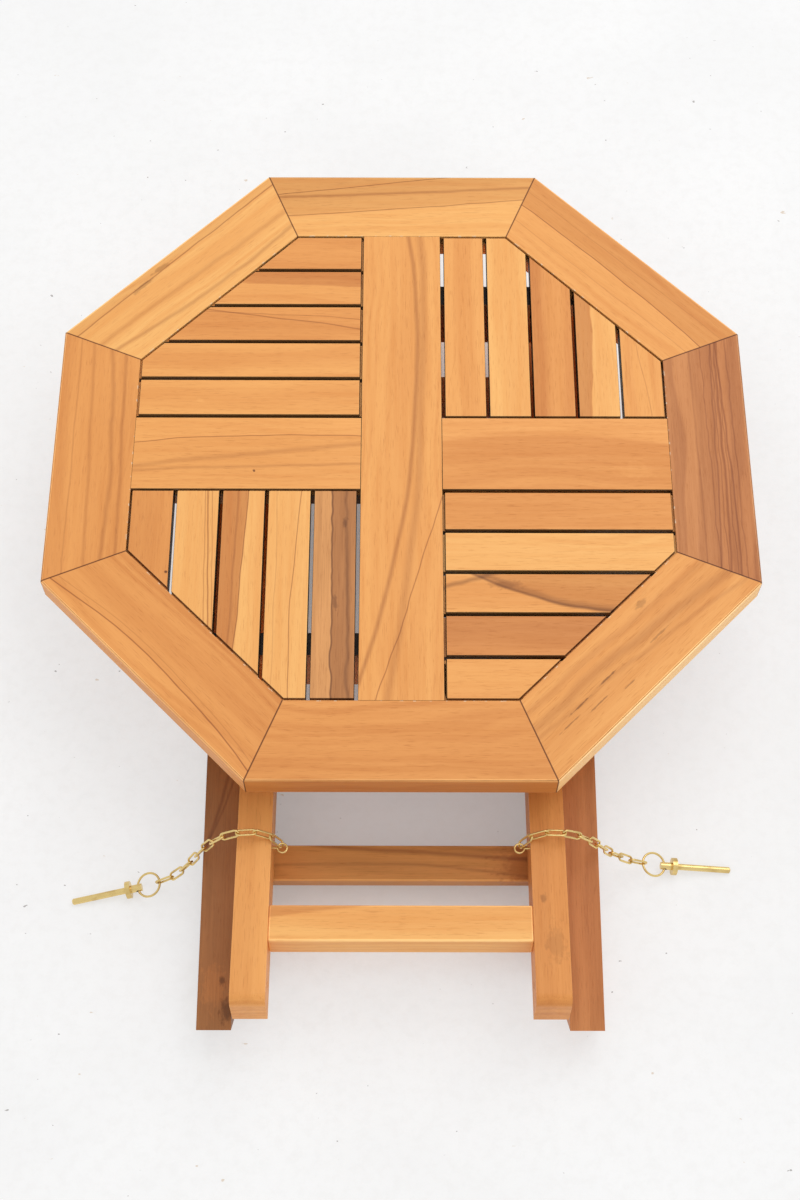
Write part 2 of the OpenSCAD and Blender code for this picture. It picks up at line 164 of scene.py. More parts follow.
# %% [markdown]
# ## Teak grain
#
# A board is cut from a log, so its lines are slices through rings. The group measures
# the distance from a line that runs along the board below it, the heart of the log,
# bends that distance with a slow noise, and reads bands from it. Every face of a board
# is then cut from the same wood, which a picture laid on the top face could not give.
# The seed moves the noises, so that no two boards are cut from the same place.

# %% Group: teak grain, its rings
SEED_SHIFT = (1.37, 0.71, 0.43)
RING_BEND = 0.06
grain_group, given, out = group(
    "teak grain",
    [("Board", None), ("Seed", 0.0), ("Pale", (1.0, 1.0, 1.0, 1.0)), ("Dark", (0.5, 0.5, 0.5, 1.0)),
     ("Band", 0.006), ("Heart depth", 0.05)],
    [("Color", tuple), ("Roughness", float), ("Height", float)])
tree = grain_group
shift = tree.nodes.new("ShaderNodeVectorMath")
shift.operation = "MULTIPLY_ADD"
for place, value in ((0, given["Seed"]), (2, given["Board"])):
    tree.links.new(value, shift.inputs[place])
shift.inputs[1].default_value = SEED_SHIFT
moved = shift.outputs[0]
parts = tree.nodes.new("ShaderNodeSeparateXYZ")
tree.links.new(given["Board"], parts.inputs[0])
bend = calc(tree, "SUBTRACT", noise(tree, moved, 4.0, (1, 3, 3)), 0.5)
across = calc(tree, "MULTIPLY_ADD", bend, RING_BEND, parts.outputs["Y"])
depth = calc(tree, "ADD", parts.outputs["Z"], given["Heart depth"])
heart = calc(tree, "SQRT", calc(tree, "ADD", calc(tree, "MULTIPLY", across, across),
                                calc(tree, "MULTIPLY", depth, depth)))
rings = tree.nodes.new("ShaderNodeTexNoise")
rings.noise_dimensions = "1D"
rings.inputs["Scale"].default_value = 1.0
rings.inputs["Detail"].default_value = 3.0
tree.links.new(calc(tree, "ADD", calc(tree, "DIVIDE", heart, given["Band"]), given["Seed"]),
               rings.inputs["W"])
bands = ramp(tree, rings.outputs["Fac"], 0.3, 0.7)
print("the rings bend by up to", RING_BEND / 2 * 1000, "mm")

# %% [markdown]
# ## Fibres and pores
#
# Over the rings lie fibres and thinner threads, as long streaks, and slow clouds of
# tone. Each is a noise that is stretched along the board, and their shares add up to how
# dark a point is. One noise with more detail would be as rough along the board as across
# it. The short dark pores that teak has come last, and they sink into the surface.

# %% Group: teak grain, its colour
RING_SHARE, FIBRE_SHARE, THREAD_SHARE, CLOUD_SHARE = 0.34, 0.5, 0.32, 0.45
BALANCE = 0.38
PORE_TINT = (0.72, 0.6, 0.52, 1.0)
fibres = noise(tree, moved, 9.0, (1, 22, 22), 3.0, 0.6)
threads = noise(tree, moved, 14.0, (1, 75, 75), 2.0)
clouds = noise(tree, moved, 8.0, (0.6, 2, 2))
amount = calc(tree, "MULTIPLY", fibres, FIBRE_SHARE)
for streaks, share in ((bands, RING_SHARE), (threads, THREAD_SHARE), (clouds, CLOUD_SHARE)):
    amount = calc(tree, "MULTIPLY_ADD", streaks, share, amount)
amount = calc(tree, "SUBTRACT", amount, BALANCE)
wood = mix(tree, ramp(tree, amount, 0.0, 1.0), given["Pale"], given["Dark"])
pores = ramp(tree, noise(tree, moved, 70.0, (1, 22, 22), 1.0), 0.6, 0.72)
wood = mix(tree, calc(tree, "MULTIPLY", pores, 0.5), wood, PORE_TINT, "MULTIPLY")
tree.links.new(wood, out["Color"])
tree.links.new(calc(tree, "MULTIPLY_ADD", fibres, 0.22, 0.36), out["Roughness"])
tree.links.new(calc(tree, "SUBTRACT", calc(tree, "MULTIPLY", threads, 0.35), pores), out["Height"])
print("group:", grain_group.name)

# %% [markdown]
# ## Figure lines
#
# The boards differ most in a few strong marks: a thin dark line that wanders along the
# board, or an edge where pale sapwood meets brown heartwood. Both follow a curve
# across = at + slope * along + bend * along^2, with a little wobble. One group gives the
# line as a thin mask and the side beyond the curve as a broad one. Painting such marks
# by hand would need a picture, and a stronger noise would put them in random places.

# %% Group: figure line
figure_group, given, out = group(
    "figure line",
    [("Board", None), ("Seed", 0.0), ("At", 0.0), ("Slope", 0.0), ("Bend", 0.0), ("Wobble", 0.003),
     ("Wobble scale", 12.0), ("Width", 0.0008), ("Soft", 0.002)],
    [("Line", float), ("Side", float)])
tree = figure_group
parts = tree.nodes.new("ShaderNodeSeparateXYZ")
tree.links.new(given["Board"], parts.inputs[0])
along = parts.outputs["X"]
curve = calc(tree, "MULTIPLY_ADD", along, given["Slope"], given["At"])
curve = calc(tree, "MULTIPLY_ADD", calc(tree, "MULTIPLY", along, along), given["Bend"], curve)
wander = tree.nodes.new("ShaderNodeTexNoise")
wander.noise_dimensions = "1D"
wander.inputs["Scale"].default_value = 1.0
tree.links.new(calc(tree, "MULTIPLY_ADD", along, given["Wobble scale"], given["Seed"]),
               wander.inputs["W"])
curve = calc(tree, "MULTIPLY_ADD", calc(tree, "SUBTRACT", wander.outputs["Fac"], 0.5),
             calc(tree, "MULTIPLY", given["Wobble"], 2.0), curve)
beyond = calc(tree, "SUBTRACT", parts.outputs["Y"], curve)
off_line = ramp(tree, calc(tree, "ABSOLUTE", beyond), 0.0, given["Width"])
tree.links.new(calc(tree, "SUBTRACT", 1.0, off_line), out["Line"])
before = calc(tree, "MULTIPLY", given["Soft"], -1.0)
tree.links.new(ramp(tree, beyond, before, given["Soft"]), out["Side"])
print("group:", figure_group.name)

# %% [markdown]
# ## Knots
#
# A knot is a short oval spot, a little ragged, with the fibres darkened round it. A
# Voronoi texture would scatter knots at random, but these sit in known places. So the
# group returns one mask from the distance to its middle, frayed by a fine noise.

# %% Group: knot
knot_group, given, out = group(
    "knot", [("Board", None), ("Along", 0.0), ("Across", 0.0), ("Size", 0.003), ("Length", 1.0)],
    [("Mask", float)])
tree = knot_group
parts = tree.nodes.new("ShaderNodeSeparateXYZ")
tree.links.new(given["Board"], parts.inputs[0])
off_x = calc(tree, "SUBTRACT", parts.outputs["X"], given["Along"])
off_x = calc(tree, "DIVIDE", off_x, given["Length"])
off_y = calc(tree, "SUBTRACT", parts.outputs["Y"], given["Across"])
reach = calc(tree, "SQRT", calc(tree, "ADD", calc(tree, "MULTIPLY", off_x, off_x),
                                calc(tree, "MULTIPLY", off_y, off_y)))
fray = ramp(tree, noise(tree, given["Board"], 300.0, (0.6, 1, 1)), 0.2, 0.8, 0.55, 1.5)
ragged = calc(tree, "MULTIPLY", reach, fray)
core = calc(tree, "MULTIPLY", given["Size"], 0.35)
tree.links.new(ramp(tree, ragged, core, given["Size"], 1.0, 0.0), out["Mask"])
print("group:", knot_group.name)

# %% [markdown]
# ## Joints
#
# Where two boards meet, oil and dust gather in the seam, and pale specks lie along the
# inner edge of the rim's top. The group measures how far a point of a board is from its
# ends and from that edge. The ends are cut at a mitre, so the half length grows across
# the board. A modelled slit would have to be as thin as a hair, and would flicker in a
# render, so the seam is a dark tint on both sides of the joint.

# %% Group: joint
SEAM_REACH = (0.0004, 0.0011)
SPECK_REACH = (0.0006, 0.0014)
TOP_FACE_DEPTH = (0.0012, 0.0018)
joint_group, given, out = group(
    "joint",
    [("Board", None), ("Half length", 0.1), ("Half width", 0.04), ("Half depth", 0.015),
     ("Mitre", 0.0)],
    [("Seam", float), ("Pale specks", float)])
tree = joint_group
parts = tree.nodes.new("ShaderNodeSeparateXYZ")
tree.links.new(given["Board"], parts.inputs[0])
half = calc(tree, "MULTIPLY_ADD", parts.outputs["Y"], given["Mitre"], given["Half length"])
to_end = calc(tree, "SUBTRACT", half, calc(tree, "ABSOLUTE", parts.outputs["X"]))
to_inner = calc(tree, "ADD", given["Half width"], parts.outputs["Y"])
tree.links.new(ramp(tree, to_end, *SEAM_REACH, 1.0, 0.0), out["Seam"])
# Pale specks along the rim's inner edge, on the top face only.
specks = ramp(tree, noise(tree, given["Board"], 190.0, detail=3.0), 0.57, 0.62)
specks = calc(tree, "MULTIPLY", specks, ramp(tree, to_inner, *SPECK_REACH, 1.0, 0.0))
below_top = calc(tree, "SUBTRACT", given["Half depth"], parts.outputs["Z"])
on_top = ramp(tree, below_top, *TOP_FACE_DEPTH, 1.0, 0.0)
tree.links.new(calc(tree, "MULTIPLY", specks, on_top), out["Pale specks"])
print("group:", joint_group.name)

# %% [markdown]
# ## Where a board lies
#
# The grain groups work in a board's own axes: X along the grain, Y across and Z out of
# the top. A Mapping node of the Texture kind turns the table's coordinates into those,
# from the middle of the board and its direction. Object coordinates stay with a board
# when the table folds, because the CAD nodes' objects have their origins at the world's.
# Folded, both leg frames slope by FOLD_TILT degrees, one up and one down.

# %% Board places
TURN = {"rim_far": 0, "rim_far_right": -45, "rim_right": -90, "rim_near_right": -135, "rim_near": 180,
        "rim_near_left": 135, "rim_left": 90, "rim_far_left": 45}
FOLD_TILT = 5.0


def middle(node):
    """The middle of a node's box."""
    low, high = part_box(node)
    return (low + high) / 2


def outwards(node):
    """The direction from the middle of the top to a rim board."""
    return Matrix.Rotation(math.radians(TURN[node]), 3, "Z") @ Vector((0, 1, 0))


rim_low, rim_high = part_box("rim_far")
TOP_MIDDLE = middle("centre_board")
RIM_WIDTH = rim_high.y - rim_low.y
RIM_MIDDLE = (rim_high.y + rim_low.y) / 2 - TOP_MIDDLE.y


def place_of(node):
    """The middle of a board and the turns of its grain about Z and Y, in degrees."""
    if node in TURN and TURN[node] % 90:
        # A slanted rim board's box is square, and its middle lies a little further in
        return TOP_MIDDLE + outwards(node) * RIM_MIDDLE, TURN[node], 0.0
    if node in TURN:
        return middle(node), TURN[node], 0.0
    if "_leg_" in node:
        return middle(node), 90.0, FOLD_TILT if node.startswith("inner") else -FOLD_TILT
    low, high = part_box(node)
    return middle(node), 0.0 if high.x - low.x > high.y - low.y else 90.0, 0.0


print("rim boards are", round(RIM_WIDTH * 1000, 1), "mm wide")

# %% [markdown]
# ## Tones
#
# Teak runs from straw to red brown within one tree. Each board gets two tones, a pale
# one and a dark one, and the grain mixes them. They are written as colours are seen on
# a screen and turned to the linear values that the shader wants. A tint is a factor on
# such a colour and stays as it is.

# %% Tones
def tone(red, green, blue):
    """A screen colour, 0 to 255, as the linear colour that Blender uses."""
    def linear(value):
        value /= 255
        return value / 12.92 if value < 0.04045 else ((value + 0.055) / 1.055) ** 2.4
    return (linear(red), linear(green), linear(blue), 1.0)


TONES = {
    "straw": (tone(252, 190, 112), tone(237, 162, 86)),
    "honey": (tone(246, 175, 98), tone(225, 146, 74)),
    "amber": (tone(237, 162, 88), tone(212, 132, 64)),
    "tan": (tone(230, 154, 85), tone(202, 124, 62)),
    "russet": (tone(214, 142, 84), tone(176, 108, 60)),
    "brown": (tone(200, 134, 78), tone(148, 92, 50)),
    "walnut": (tone(222, 152, 78), tone(176, 114, 52)),
    "dark": (tone(170, 112, 64), tone(112, 70, 38)),
}
LINE_TINT = (0.42, 0.27, 0.22, 1.0)
KNOT_TINT = (0.16, 0.1, 0.08, 1.0)
# The tint of the pale specks along the rim's inner edge.
PALE_SPECK_TONE = tone(244, 226, 196)
SEAM_TINT = (0.16, 0.08, 0.05, 1.0)
MITRE = math.tan(math.radians(22.5))
print(len(TONES), "tones of teak")

# %% [markdown]
# ## Rubbed edges with a painted highlight, and sides with painted shade
#
# Hands rub the edges pale, and on top of that handling the edges get a painted highlight,
# a lighter tint where light would catch them. The sides that look into a seam, and the
# beams' tops below the slits, get painted shade. Geometry's Pointiness could find edges,
# but it needs a fine mesh and finds every edge alike. Here the faces say it themselves:
# two numbers from 0 to 1, one for handling with its painted highlight and one for painted
# shade, are written on them when the edges are eased, further down, and this group turns
# them into tints.

# %% Group: handling, painted highlight and shade
# A lighter tint for eased edges: partly pale from handling, partly a painted highlight.
HANDLING_AND_HIGHLIGHT_TINT = (1.4, 1.75, 2.4, 1.0)
# A dark tint: painted shade on board sides that look into a seam and on beams' tops.
PAINTED_SHADE_TINT = (0.07, 0.09, 0.14, 1.0)
handling_and_light_group, given, out = group(
    "handling, painted highlight and shade", [("Color", (0.8, 0.8, 0.8, 1.0)), ("Wornlit", 0.0), ("Hidden", 0.0)], [("Color", tuple)])
tree = handling_and_light_group
handled_and_lit = mix(tree, given["Wornlit"], given["Color"], HANDLING_AND_HIGHLIGHT_TINT, "MULTIPLY")
tree.links.new(mix(tree, given["Hidden"], handled_and_lit, PAINTED_SHADE_TINT, "MULTIPLY"), out["Color"])
print("group:", handling_and_light_group.name)

# %% [markdown]
# ## The teak material
#
# The Principled shader stands in each material, with the groups in front of it. Oiled
# teak has a soft sheen, so its roughness is about a half, and a thin Bump carries pores
# and fibres. Marks are laid over the grain one after another, as tints: a line darkens
# what lies below it, and a side darkens or lightens all of one side of a curve. The
# joints of the rim come last, with the handling of the faces, its painted highlight on
# the edges and the painted shade in the seams.

# %% Teak material
def teak(name, tones, seed, at, marks, rim_size, band, heart):
    """A board's material. at is what place_of gives; rim_size is a rim's length, width and depth."""
    material = bpy.data.materials.new("teak_" + name)
    material.use_nodes = True
    tree = material.node_tree
    shader = tree.nodes["Principled BSDF"]
    coordinates = tree.nodes.new("ShaderNodeTexCoord")
    own_axes = tree.nodes.new("ShaderNodeMapping")
    own_axes.vector_type = "TEXTURE"
    own_axes.inputs["Location"].default_value = at[0]
    own_axes.inputs["Rotation"].default_value = (0, math.radians(at[2]), math.radians(at[1]))
    tree.links.new(coordinates.outputs["Object"], own_axes.inputs["Vector"])
    board = own_axes.outputs["Vector"]
    pale, dark = TONES[tones]
    grain = place_group(tree, grain_group, Board=board, Seed=float(seed), Pale=pale, Dark=dark,
                        Band=band, Heart_depth=heart)
    colour = grain["Color"]
    for kind, tint, strength, values in marks:
        if kind == "knot":
            mask = place_group(tree, knot_group, Board=board, **values)["Mask"]
        else:
            lines = place_group(tree, figure_group, Board=board, Seed=float(seed), **values)
            mask = lines["Line" if kind == "line" else "Side"]
        colour = mix(tree, calc(tree, "MULTIPLY", mask, strength), colour, tint, "MULTIPLY")
    if rim_size:
        seams = place_group(tree, joint_group, Board=board, Half_length=rim_size[0] / 2,
                            Half_width=rim_size[1] / 2, Half_depth=rim_size[2] / 2, Mitre=MITRE)
        colour = mix(tree, calc(tree, "MULTIPLY", seams["Seam"], 0.85), colour, SEAM_TINT, "MULTIPLY")
        colour = mix(tree, calc(tree, "MULTIPLY", seams["Pale specks"], 0.5), colour, PALE_SPECK_TONE)
    # The faces' two numbers: handling with a painted highlight, and painted shade.
    on_faces = {}
    for label in ("Wornlit", "Hidden"):
        flag = tree.nodes.new("ShaderNodeAttribute")
        flag.attribute_name = label.lower()
        on_faces[label] = flag.outputs["Fac"]
    colour = place_group(tree, handling_and_light_group, Color=colour, **on_faces)["Color"]
    tree.links.new(colour, shader.inputs["Base Color"])
    tree.links.new(grain["Roughness"], shader.inputs["Roughness"])
    shader.inputs["Specular IOR Level"].default_value = 0.32
    bump = tree.nodes.new("ShaderNodeBump")
    bump.inputs["Strength"].default_value = 0.25
    bump.inputs["Distance"].default_value = 0.0004
    tree.links.new(grain["Height"], bump.inputs["Height"])
    tree.links.new(bump.outputs["Normal"], shader.inputs["Normal"])
    return material


# %% [markdown]
# ## Marks
#
# A mark is written down with a short call that says where it runs and how strong it is.
# The call only puts these values in order, and the material places the group for them.
# Most marks leave the wobble and the widths at the usual values.

# %% Marks
def line(at, slope=0.0, bend=0.0, strength=0.8, width=0.0009, wobble=0.002, scale=12.0, tint=LINE_TINT):
    """A thin dark line along a board."""
    return ("line", tint, strength, {"At": at, "Slope": slope, "Bend": bend, "Width": width,
                                     "Wobble": wobble, "Wobble scale": scale})


def side(at, tint, slope=0.0, bend=0.0, strength=1.0, soft=0.002, wobble=0.002, scale=12.0):
    """A change of tone beyond a curve along a board."""
    return ("side", tint, strength, {"At": at, "Slope": slope, "Bend": bend, "Soft": soft,
                                     "Wobble": wobble, "Wobble scale": scale})


def knot(along, across, size=0.003, length=1.0, strength=0.9, tint=KNOT_TINT):
    """A knot, or any other short oval mark."""
    return ("knot", tint, strength, {"Along": along, "Across": across, "Size": size, "Length": length})


# %% [markdown]
# ## Every board's own figure
#
# The list gives each board its tones and its strong marks, in metres from the middle of
# the board. Tints below 1 are darker than the wood and those above it lighter. Two rim
# boards have another tone on the outer side than on top, a mark that starts where that
# side begins: the near rim's side gets painted shade and the near right rim's side gets
# painted light. A random figure for each board would be shorter to write, but the marks
# of the real boards are what one knows this table by.

# %% The boards of the top
DARKER, REDDER = (0.8, 0.72, 0.66, 1.0), (0.78, 0.66, 0.6, 1.0)
LIGHTER, PALER = (1.12, 1.2, 1.28, 1.0), (1.2, 1.36, 1.55, 1.0)
# The first of these tints is painted light for the near right rim's outer side.
PAINTED_SIDE_LIGHT, SAPWOOD, GOLDEN = (1.25, 1.7, 2.4, 1.0), (1.5, 1.7, 1.8, 1.0), (1.5, 1.4, 1.2, 1.0)
BROWN_SIDE = (0.72, 0.57, 0.5, 1.0)
SMOKE = (0.36, 0.3, 0.3, 1.0)
# Where a rim's outer side begins; beyond it the near rim gets painted shade and the near right rim
# painted light.
PAINTED_SIDE_FACE = RIM_WIDTH / 2 - 0.0004
BOARDS = {
    "rim_far": ("straw", 3, [
        side(-0.003, DARKER, 0.088, strength=0.75, soft=0.004), line(0.033, 0.135), line(-0.003, 0.088),
        line(0.018, 0.05, strength=0.45, width=0.003),
        side(0.018, DARKER, 0.12, strength=0.35, soft=0.008)]),
    "rim_far_right": ("honey", 11, [
        side(0.0046, DARKER, -0.008, -0.19, 0.65, 0.0012), line(0.0046, -0.008, -0.19, 0.9),
        line(-0.016, 0.01, strength=0.3), line(0.022, 0.01, strength=0.25)]),
    "rim_right": ("russet", 21, [
        side(-0.002, REDDER, 0.03, strength=0.5, soft=0.012),
        line(0.013, 0.0, strength=0.6, width=0.0022, wobble=0.004),
        line(0.019, 0.03, strength=0.6, width=0.0016, wobble=0.004),
        line(0.006, -0.02, strength=0.5, width=0.0014, wobble=0.004),
        line(0.0, 0.015, strength=0.4, width=0.0011, wobble=0.003, scale=20.0),
        line(0.0095, 0.0, strength=0.45, width=0.001, wobble=0.003, scale=20.0),
        line(0.0165, 0.015, strength=0.4, width=0.001, wobble=0.003, scale=20.0),
        line(0.026, 0.01, strength=0.4, width=0.0012, wobble=0.003, scale=20.0),
        line(-0.012, 0.01, strength=0.3, width=0.0014)]),
    "rim_near_right": ("honey", 33, [
        # Painted light on the outer side face.
        side(PAINTED_SIDE_FACE, PAINTED_SIDE_LIGHT, soft=0.0003, wobble=0.0),
        side(-0.012, DARKER, 0.02, strength=0.35, soft=0.008),
        side(0.016, LIGHTER, 0.0, strength=0.45, soft=0.008),
        line(-0.006, -0.08, 0.3, 0.3, 0.009, 0.004, 14.0),
        line(0.008, -0.1, 0.2, 0.22, 0.004, 0.003, 18.0),
        line(-0.022, -0.05, 0.0, 0.2, 0.007, 0.004, 14.0), knot(-0.045, -0.028, 0.005, 2.0, 0.35),
        knot(0.035, 0.002, 0.0011, 16.0, 0.6), knot(0.075, 0.0028, 0.0011, 16.0, 0.6),
        knot(-0.033, 0.006, 0.0012, 14.0, 0.4), knot(0.06, 0.014, 0.0011, 16.0, 0.5),
        knot(0.026, 0.021, 0.001, 12.0, 0.5), knot(0.095, 0.009, 0.001, 16.0, 0.5)]),
    "rim_near": ("amber", 40, [
        side(0.02, DARKER, strength=0.2, soft=0.02),
        # Painted shade on the outer side face.
        side(PAINTED_SIDE_FACE, DARKER, strength=0.9, soft=0.0003, wobble=0.0)]),
    "rim_near_left": ("amber", 52, [
        side(0.0185, LIGHTER, 0.0, 0.62, 0.45, 0.0015), line(0.0185, 0.0, 0.62, 0.85, 0.0011),
        line(0.012, 0.0, 0.6, 0.3)]),
    "rim_left": ("amber", 61, [
        side(-0.005, LIGHTER, strength=0.25, soft=0.015),
        side(0.026, REDDER, 0.03, strength=0.35, soft=0.008),
        line(-0.018, 0.02, 0.3, 0.35, 0.004, 0.004), line(-0.028, 0.02, strength=0.35, width=0.003),
        line(0.004, 0.03, strength=0.25, width=0.003), line(0.021, strength=0.3, width=0.0014)]),
    "rim_far_left": ("straw", 75, [
        line(0.0285, 0.005, strength=0.7, width=0.0013),
        side(0.0275, DARKER, 0.005, strength=0.45, soft=0.003),
        line(-0.0265, -0.05, 0.5, strength=0.4, width=0.004, wobble=0.003),
        line(-0.002, -0.04, strength=0.25, width=0.005, wobble=0.004),
        knot(-0.02, 0.031, 0.0035, 4.0, 0.35), knot(-0.048, 0.027, 0.0035, 5.0, 0.35)]),
    "centre_board": ("honey", 84, [
        line(-0.0105, -0.098, 0.406, 0.5, 0.004, 0.003, 6.0),
        line(-0.055, -0.288, 0.0, 0.7, 0.0011, 0.003, 14.0),
        line(-0.018, -0.06, 0.2, 0.3, 0.007, 0.004, 6.0)]),
    "cross_board_left": ("honey", 92, [
        side(0.02, LIGHTER, 0.03, -0.26, strength=0.35, soft=0.001), line(0.02, 0.03, -0.26, 0.8),
        line(-0.002, 0.11, strength=0.28, width=0.005), line(-0.016, 0.03, strength=0.3, width=0.003),
        knot(0.008, -0.021, 0.0018)]),
    "cross_board_right": ("amber", 101, [
        side(0.0202, PALER, -0.02, -0.55, 0.55, 0.002),
        side(-0.012, LIGHTER, 0.02, strength=0.25, soft=0.01),
        knot(0.08, -0.02, 0.012, 2.0, 0.3, PALER)]),
    "slat_far_left_5": ("amber", 110, []),
    "slat_far_left_4": ("honey", 118, [side(0.0044, BROWN_SIDE, -0.04, strength=0.7, soft=0.0012)]),
    "slat_far_left_3": ("amber", 127, [
        line(0.009, -0.15, strength=0.6, width=0.0014), line(0.012, -0.058, strength=0.5),
        side(0.0095, LIGHTER, -0.1, strength=0.4)]),
    "slat_far_left_2": ("honey", 133, []),
    "slat_far_left_1": ("honey", 142, [knot(-0.05, -0.004, 0.004, 1.2, 0.3, PALER)]),
    "slat_far_right_1": ("honey", 151, []),
    "slat_far_right_2": ("straw", 163, []),
    "slat_far_right_3": ("amber", 172, [side(0.006, REDDER, strength=0.3, soft=0.008)]),
    "slat_far_right_4": ("straw", 181, [
        side(0.0045, BROWN_SIDE, -0.023, 0.3, 0.95, 0.0007, 0.002, 25.0)]),
    "slat_far_right_5": ("honey", 190, [line(0.0, 0.12, strength=0.35)]),
    "slat_near_left_5": ("amber", 203, [
        knot(-0.035, -0.0185, 0.0022), side(-0.004, DARKER, strength=0.3, soft=0.012)]),
    "slat_near_left_4": ("straw", 214, [
        line(-0.013, 0.045, strength=0.8, width=0.0012), line(-0.0095, 0.03, strength=0.5),
        line(-0.017, 0.04, strength=0.5)]),
    "slat_near_left_3": ("straw", 226, [
        side(0.0005, BROWN_SIDE, -0.0535, strength=1.0, soft=0.0012),
        line(0.0005, -0.0535, strength=0.85), line(0.008, -0.03, strength=0.35, width=0.002)]),
    "slat_near_left_2": ("straw", 233, [
        line(-0.004, -0.0355, -0.361, 0.75, 0.0009), line(0.012, 0.0, strength=0.3)]),
    "slat_near_left_1": ("brown", 241, [
        side(0.002, SAPWOOD, 0.01, soft=0.0012, wobble=0.004, scale=20.0),
        line(0.002, 0.01, 0.0, 0.95, 0.0015, 0.004, 20.0, SMOKE),
        knot(0.076, -0.0098, 0.0035, 2.0, 0.6, SMOKE), knot(-0.012, -0.0014, 0.003, 4.0, 0.55, SMOKE),
        line(-0.013, 0.02, 0.0, 0.5, 0.003, 0.005, 16.0, SMOKE)]),
    "slat_near_right_1": ("amber", 252, []),
    "slat_near_right_2": ("straw", 260, []),
    "slat_near_right_3": ("honey", 271, [
        side(-0.0093, DARKER, -0.27, 1.7, 0.95, 0.003, 0.002, 18.0),
        line(-0.0088, -0.27, 1.7, 0.75, 0.003, 0.002, 18.0, SMOKE),
        line(-0.0062, -0.29, 1.9, 0.4, 0.006, 0.003, 20.0, SMOKE),
        line(0.0375, 0.3, 0.0, 0.6, 0.0045, 0.004, 20.0, SMOKE),
        knot(-0.043, 0.009, 0.007, 2.6, 0.35, SMOKE)]),
    "slat_near_right_4": ("tan", 280, [side(-0.008, DARKER, strength=0.6, soft=0.02)]),
    "slat_near_right_5": ("honey", 292, []),
}
print(len(BOARDS), "boards in the top")

# %% [markdown]
# ## The boards below the top
#
# The legs and rails that show have marks too. The beams and bearers are out of sight when
# the table lies folded, so they get plain brown wood, with painted shade on their tops.

# %% The boards below the top
UNDERSIDE = {
    "back_beam": ("russet", 300, []),
    "front_beam": ("russet", 310, []),
    "bearer_left": ("russet", 320, []),
    "bearer_right": ("russet", 330, []),
    "outer_leg_left": ("dark", 341, [
        knot(-0.372, -0.012, 0.009, 1.6, 0.6), knot(-0.345, -0.006, 0.004, 1.5, 0.6),
        knot(-0.35, 0.001, 0.016, 1.6, 0.45, GOLDEN), line(0.002, 0.25, 1.4, 0.5, 0.003),
        line(-0.006, 0.3, 1.8, 0.4, 0.002)]),
    "outer_leg_right": ("russet", 352, [side(0.0, LIGHTER, strength=0.3, soft=0.006)]),
    "inner_leg_left": ("honey", 363, [side(-0.004, DARKER, strength=0.3, soft=0.006)]),
    "inner_leg_right": ("amber", 374, [
        side(0.0, DARKER, strength=0.35, soft=0.006), knot(-0.29, 0.006, 0.005, 1.4, 0.35),
        knot(-0.335, -0.004, 0.012, 1.8, 0.2)]),
    "outer_rail": ("walnut", 385, [
        line(0.011, -0.07, strength=0.6, width=0.004),
        line(-0.002, -0.04, -0.5, strength=0.35, width=0.003),
        side(0.014, DARKER, -0.06, strength=0.5, soft=0.006),
        knot(0.128, -0.002, 0.03, 1.4, 0.9, REDDER)]),
    "near_rail": ("straw", 396, [side(0.0218, BROWN_SIDE, 0.119, strength=0.65, soft=0.0015)]),
    "foot_rail": ("tan", 407, []),
}
print(len(UNDERSIDE), "boards below the top")

# %% [markdown]
# ## What the faces and edges are
#
# Two questions come before any edge is eased. Does an edge lie on the outline of the
# whole top? The sander took more off there. And how much painted shade does a face get,
# as a side that looks into a seam or as the top of a beam below the slits? That is asked
# by the direction of the face, because a ray that feels for a near neighbour would take
# long and would answer otherwise at another pose.

# %% Questions to faces and edges
OUTER_REACH = 0.3499
LEVEL = 0.001
SEAM_SLOPE, TOWARDS_US = 0.75, -0.5
# Painted shade on a seam side that faces the near end is a little weaker.
NEAR_SIDE_SHADE = 0.75
BEAMS = ("back_beam", "front_beam", "bearer_left", "bearer_right")


def is_outer(edge, node):
    """True for a level edge that lies on the outline of the whole top."""
    if node not in TURN:
        return False
    outward = outwards(node)
    first, second = (v.co for v in edge.verts)
    return (all((co - TOP_MIDDLE).dot(outward) > OUTER_REACH for co in (first, second))
            and abs(first.z - second.z) < LEVEL)


def how_shaded(face, node):
    """How much painted shade a face gets: a board's side inside the rim, or the top of a beam below it.
    """
    if node in BEAMS:
        return float(face.normal.z > SEAM_SLOPE)
    if node not in BOARDS or node in TURN or abs(face.normal.z) > SEAM_SLOPE:
        return 0.0
    return NEAR_SIDE_SHADE if face.normal.y < TOWARDS_US else 1.0


print("the outline of the top lies", OUTER_REACH, "m from its middle")

# %% [markdown]
# ## Eased edges
#
# No wooden edge is knife sharp: a sander takes a millimetre off it, and that strip
# catches the light all round the top. A copy of each board gets real bevels. Blender's
# Bevel modifier would do it with one width, but the outer edge of the rim is eased more
# than its joints, so the edges are picked by place and bevelled in two passes. The new
# strips get a number for handling with a painted highlight, and every face gets its
# number for painted shade.

# %% Ease a board
OUTER_EASE, LEG_EASE, PLAIN_EASE = 0.0022, 0.0018, 0.0007
# How much each eased strip is lightened: partly handling, partly a painted highlight.
HANDLING_AND_HIGHLIGHT = {OUTER_EASE: 0.8, LEG_EASE: 0.6, PLAIN_EASE: 0.15}
SAME_PLACE = 0.00001
FLAT_ANGLE, EDGE_ANGLE, SMOOTH_ANGLE = math.radians(0.5), math.radians(30), math.radians(40)


